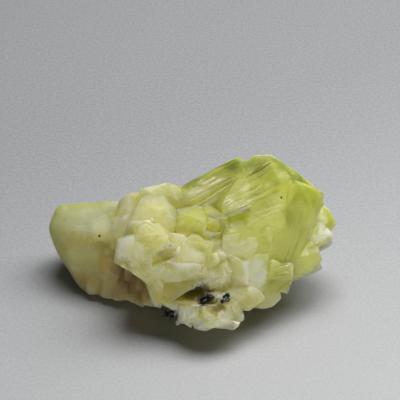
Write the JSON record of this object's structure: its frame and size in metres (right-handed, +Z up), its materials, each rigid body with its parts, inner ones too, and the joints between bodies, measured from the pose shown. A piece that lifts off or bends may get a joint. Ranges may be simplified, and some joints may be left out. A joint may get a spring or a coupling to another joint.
{
  "type": "mineral crystal cluster",
  "caption": "Intergrown cluster of yellow-green crystals: a blunt milky one at one end, small blocky ones between, a fan of large striated ones at the other, a granular lip with black grains.",
  "frame": {"origin": "on the resting plane, under the middle of the cluster's box", "axes": "+X along the cluster towards the tips of the fan, +Z up, -Y the front with the granular lip"},
  "size_m": [0.0436, 0.0238, 0.0206],
  "materials": {
    "brazilianite": "vitreous, translucent to clear yellow-green, milky in part",
    "schorl": "black, vitreous"
  },
  "bodies": {
    "root": {"brazilianite_cluster": "brazilianite", "schorl_grain_left": "schorl", "schorl_grain_middle": "schorl", "schorl_grain_right": "schorl"}
  },
  "joints": []
}
